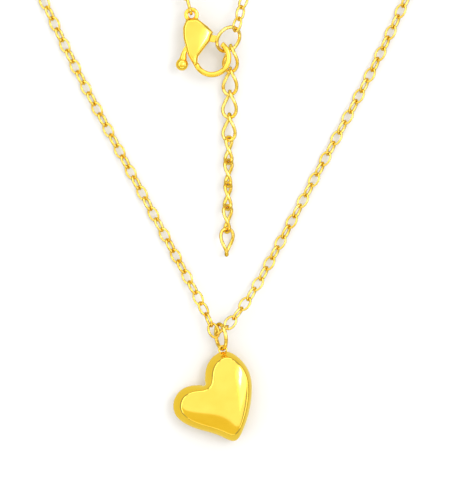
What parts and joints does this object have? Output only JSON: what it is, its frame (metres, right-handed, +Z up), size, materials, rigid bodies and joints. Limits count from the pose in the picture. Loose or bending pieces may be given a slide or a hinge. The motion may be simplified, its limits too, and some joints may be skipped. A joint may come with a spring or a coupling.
{
  "type": "pendant necklace",
  "caption": "Fine oval-link chain necklace with a puffed heart pendant on a jump ring, a lobster clasp and a twisted-link extender, laid out flat.",
  "frame": {"origin": "middle of the laid-out necklace, at the height of the table it lies on", "axes": "+Z up from the table, +Y from the heart towards the top of the chain loop, +X to the viewer's right"},
  "size_m": [0.0968, 0.132, 0.0055],
  "materials": {
    "chain_gold": "high-polish gold plate",
    "heart_gold": "mirror-polished gold plate",
    "clasp_gold": "high-polish gold plate",
    "ring_gold": "high-polish gold plate",
    "extender_gold": "high-polish gold plate",
    "spring_steel": "bright spring steel"
  },
  "bodies": {
    "centre_link": {"chain_centre_link": "chain_gold"},
    "pendant_ring": {"pendant_ring": "ring_gold"},
    "heart": {"heart_front_shell": "heart_gold", "heart_back_shell": "heart_gold", "heart_eye": "heart_gold"},
    "left_run_1": {"chain_left_01": "chain_gold"},
    "left_run_2": {"chain_left_02": "chain_gold"},
    "left_run_3": {"chain_left_03": "chain_gold"},
    "left_run_4": {"chain_left_04": "chain_gold"},
    "left_run_5": {"chain_left_05": "chain_gold"},
    "left_run_6": {"chain_left_06": "chain_gold"},
    "left_run_7": {"chain_left_07": "chain_gold"},
    "left_run_8": {"chain_left_08": "chain_gold"},
    "right_run_1": {"chain_right_01": "chain_gold"},
    "right_run_2": {"chain_right_02": "chain_gold"},
    "right_run_3": {"chain_right_03": "chain_gold"},
    "right_run_4": {"chain_right_04": "chain_gold"},
    "right_run_5": {"chain_right_05": "chain_gold"},
    "right_run_6": {"chain_right_06": "chain_gold"},
    "right_run_7": {"chain_right_07": "chain_gold"},
    "right_run_8": {"chain_right_08": "chain_gold"},
    "clasp_tail": {"clasp_tail_ring": "ring_gold"},
    "clasp": {"clasp_body": "clasp_gold", "clasp_pivot_pin": "clasp_gold", "clasp_leaf_spring": "spring_steel"},
    "gate_lever": {"clasp_gate_lever": "clasp_gold"},
    "end_ring": {"end_ring": "ring_gold"},
    "extender_1": {"extender_link_01": "extender_gold"},
    "extender_2": {"extender_link_02": "extender_gold"},
    "extender_3": {"extender_link_03": "extender_gold"},
    "extender_4": {"extender_link_04": "extender_gold"},
    "extender_5": {"extender_link_05": "extender_gold"},
    "extender_6": {"extender_link_06": "extender_gold"},
    "extender_7": {"extender_link_07": "extender_gold"},
    "extender_8": {"extender_link_08": "extender_gold"},
    "extender_9": {"extender_link_09": "extender_gold"}
  },
  "joints": [
    {"name": "left_chain_bend_1", "type": "hinge", "parent": "centre_link", "child": "left_run_1", "pos_m": [-0.0012, -0.04743, 0.0029], "axis": [0, 0, 1], "range_deg": [-4, 4]},
    {"name": "left_chain_bend_2", "type": "hinge", "parent": "left_run_1", "child": "left_run_2", "pos_m": [-0.00587, -0.03795, 0.00144], "axis": [0, 0, 1], "range_deg": [-4, 4]},
    {"name": "left_chain_bend_3", "type": "hinge", "parent": "left_run_2", "child": "left_run_3", "pos_m": [-0.01087, -0.02863, 0.00105], "axis": [0, 0, 1], "range_deg": [-4, 4]},
    {"name": "left_chain_bend_4", "type": "hinge", "parent": "left_run_3", "child": "left_run_4", "pos_m": [-0.01786, -0.01558, 0.00105], "axis": [0, 0, 1], "range_deg": [-4, 4]},
    {"name": "left_chain_bend_5", "type": "hinge", "parent": "left_run_4", "child": "left_run_5", "pos_m": [-0.04019, 0.02997, 0.00105], "axis": [0, 0, 1], "range_deg": [-4, 4]},
    {"name": "left_chain_bend_6", "type": "hinge", "parent": "left_run_5", "child": "left_run_6", "pos_m": [-0.04747, 0.05168, 0.00105], "axis": [0, 0, 1], "range_deg": [-4, 4]},
    {"name": "left_chain_bend_7", "type": "hinge", "parent": "left_run_6", "child": "left_run_7", "pos_m": [-0.04256, 0.06081, 0.00105], "axis": [0, 0, 1], "range_deg": [-4, 4]},
    {"name": "left_chain_bend_8", "type": "hinge", "parent": "left_run_7", "child": "left_run_8", "pos_m": [-0.02306, 0.06174, 0.00105], "axis": [0, 0, 1], "range_deg": [-4, 4]},
    {"name": "right_chain_bend_1", "type": "hinge", "parent": "centre_link", "child": "right_run_1", "pos_m": [0.00062, -0.04589, 0.0029], "axis": [0, 0, 1], "range_deg": [-4, 4]},
    {"name": "right_chain_bend_2", "type": "hinge", "parent": "right_run_1", "child": "right_run_2", "pos_m": [0.0067, -0.03733, 0.00145], "axis": [0, 0, 1], "range_deg": [-4, 4]},
    {"name": "right_chain_bend_3", "type": "hinge", "parent": "right_run_2", "child": "right_run_3", "pos_m": [0.01169, -0.02806, 0.00105], "axis": [0, 0, 1], "range_deg": [-4, 4]},
    {"name": "right_chain_bend_4", "type": "hinge", "parent": "right_run_3", "child": "right_run_4", "pos_m": [0.01666, -0.01879, 0.00105], "axis": [0, 0, 1], "range_deg": [-4, 4]},
    {"name": "right_chain_bend_5", "type": "hinge", "parent": "right_run_4", "child": "right_run_5", "pos_m": [0.04444, 0.03787, 0.00105], "axis": [0, 0, 1], "range_deg": [-4, 4]},
    {"name": "right_chain_bend_6", "type": "hinge", "parent": "right_run_5", "child": "right_run_6", "pos_m": [0.04724, 0.05199, 0.00105], "axis": [0, 0, 1], "range_deg": [-4, 4]},
    {"name": "right_chain_bend_7", "type": "hinge", "parent": "right_run_6", "child": "right_run_7", "pos_m": [0.04205, 0.06094, 0.00105], "axis": [0, 0, 1], "range_deg": [-4, 4]},
    {"name": "right_chain_bend_8", "type": "hinge", "parent": "right_run_7", "child": "right_run_8", "pos_m": [0.02839, 0.06506, 0.00105], "axis": [0, 0, 1], "range_deg": [-4, 4]},
    {"name": "pendant_ring_turn", "type": "hinge", "parent": "centre_link", "child": "pendant_ring", "pos_m": [-0.00023, -0.04642, 0.0029], "axis": [0, 0, 1], "range_deg": [-3, 3]},
    {"name": "heart_swing", "type": "hinge", "parent": "pendant_ring", "child": "heart", "pos_m": [-0.00006, -0.04974, 0.00277], "axis": [0, 0, 1], "range_deg": [-20, 20]},
    {"name": "clasp_tail_turn", "type": "hinge", "parent": "left_run_8", "child": "clasp_tail", "pos_m": [-0.00636, 0.01228, 0.00312], "axis": [0, 0, 1], "range_deg": [-0.5, 0.5]},
    {"name": "clasp_swing", "type": "hinge", "parent": "clasp_tail", "child": "clasp", "pos_m": [-0.00563, 0.00956, 0.00332], "axis": [0, 0, 1], "range_deg": [0, 1]},
    {"name": "clasp_gate", "type": "hinge", "parent": "clasp", "child": "gate_lever", "pos_m": [-0.00497, 0.00564, 0.00332], "axis": [0, 0, -1], "range_deg": [0, 30], "stiffness_Nm_per_rad": 0.0006},
    {"name": "end_ring_turn", "type": "hinge", "parent": "right_run_8", "child": "end_ring", "pos_m": [0.00223, 0.00663, 0.00355], "axis": [0, 0, 1], "range_deg": [-1, 1]},
    {"name": "extender_joint_1", "type": "hinge", "parent": "end_ring", "child": "extender_1", "pos_m": [0.00137, 0.00324, 0.00186], "axis": [0, 0, 1], "range_deg": [-3, 3]},
    {"name": "extender_joint_2", "type": "hinge", "parent": "extender_1", "child": "extender_2", "pos_m": [0.00131, 0.00033, 0.00186], "axis": [0, 0, 1], "range_deg": [-3, 3]},
    {"name": "extender_joint_3", "type": "hinge", "parent": "extender_2", "child": "extender_3", "pos_m": [0.00123, -0.00373, 0.00186], "axis": [-1, 0, 0], "range_deg": [0, 15]},
    {"name": "extender_joint_4", "type": "hinge", "parent": "extender_3", "child": "extender_4", "pos_m": [0.00115, -0.00778, 0.00186], "axis": [0, 0, -1], "range_deg": [-8, 8]},
    {"name": "extender_joint_5", "type": "hinge", "parent": "extender_4", "child": "extender_5", "pos_m": [0.00107, -0.01184, 0.00186], "axis": [-1, 0, 0], "range_deg": [0, 12]},
    {"name": "extender_joint_6", "type": "hinge", "parent": "extender_5", "child": "extender_6", "pos_m": [0.00098, -0.0159, 0.00186], "axis": [0, 0, 1], "range_deg": [-12, 12]},
    {"name": "extender_joint_7", "type": "hinge", "parent": "extender_6", "child": "extender_7", "pos_m": [0.0009, -0.01996, 0.00186], "axis": [-1, 0, 0], "range_deg": [0, 25]},
    {"name": "extender_joint_8", "type": "hinge", "parent": "extender_7", "child": "extender_8", "pos_m": [0.00082, -0.02402, 0.00186], "axis": [0, 0, -1], "range_deg": [-15, 15]},
    {"name": "extender_joint_9", "type": "hinge", "parent": "extender_8", "child": "extender_9", "pos_m": [0.00074, -0.02808, 0.00186], "axis": [-1, 0, 0], "range_deg": [0, 34]}
  ],
  "couplings": [
    {"joint": "left_chain_bend_2", "follows": "left_chain_bend_1", "ratio": 1},
    {"joint": "left_chain_bend_3", "follows": "left_chain_bend_1", "ratio": -1},
    {"joint": "left_chain_bend_4", "follows": "left_chain_bend_1", "ratio": -1},
    {"joint": "left_chain_bend_5", "follows": "left_chain_bend_1", "ratio": -1},
    {"joint": "left_chain_bend_6", "follows": "left_chain_bend_1", "ratio": -1},
    {"joint": "left_chain_bend_7", "follows": "left_chain_bend_1", "ratio": 1},
    {"joint": "left_chain_bend_8", "follows": "left_chain_bend_1", "ratio": 1},
    {"joint": "right_chain_bend_1", "follows": "left_chain_bend_1", "ratio": -1},
    {"joint": "right_chain_bend_2", "follows": "left_chain_bend_1", "ratio": -1},
    {"joint": "right_chain_bend_3", "follows": "left_chain_bend_1", "ratio": 1},
    {"joint": "right_chain_bend_4", "follows": "left_chain_bend_1", "ratio": 1},
    {"joint": "right_chain_bend_5", "follows": "left_chain_bend_1", "ratio": 1},
    {"joint": "right_chain_bend_6", "follows": "left_chain_bend_1", "ratio": 1},
    {"joint": "right_chain_bend_7", "follows": "left_chain_bend_1", "ratio": -1},
    {"joint": "right_chain_bend_8", "follows": "left_chain_bend_1", "ratio": -1}
  ]
}
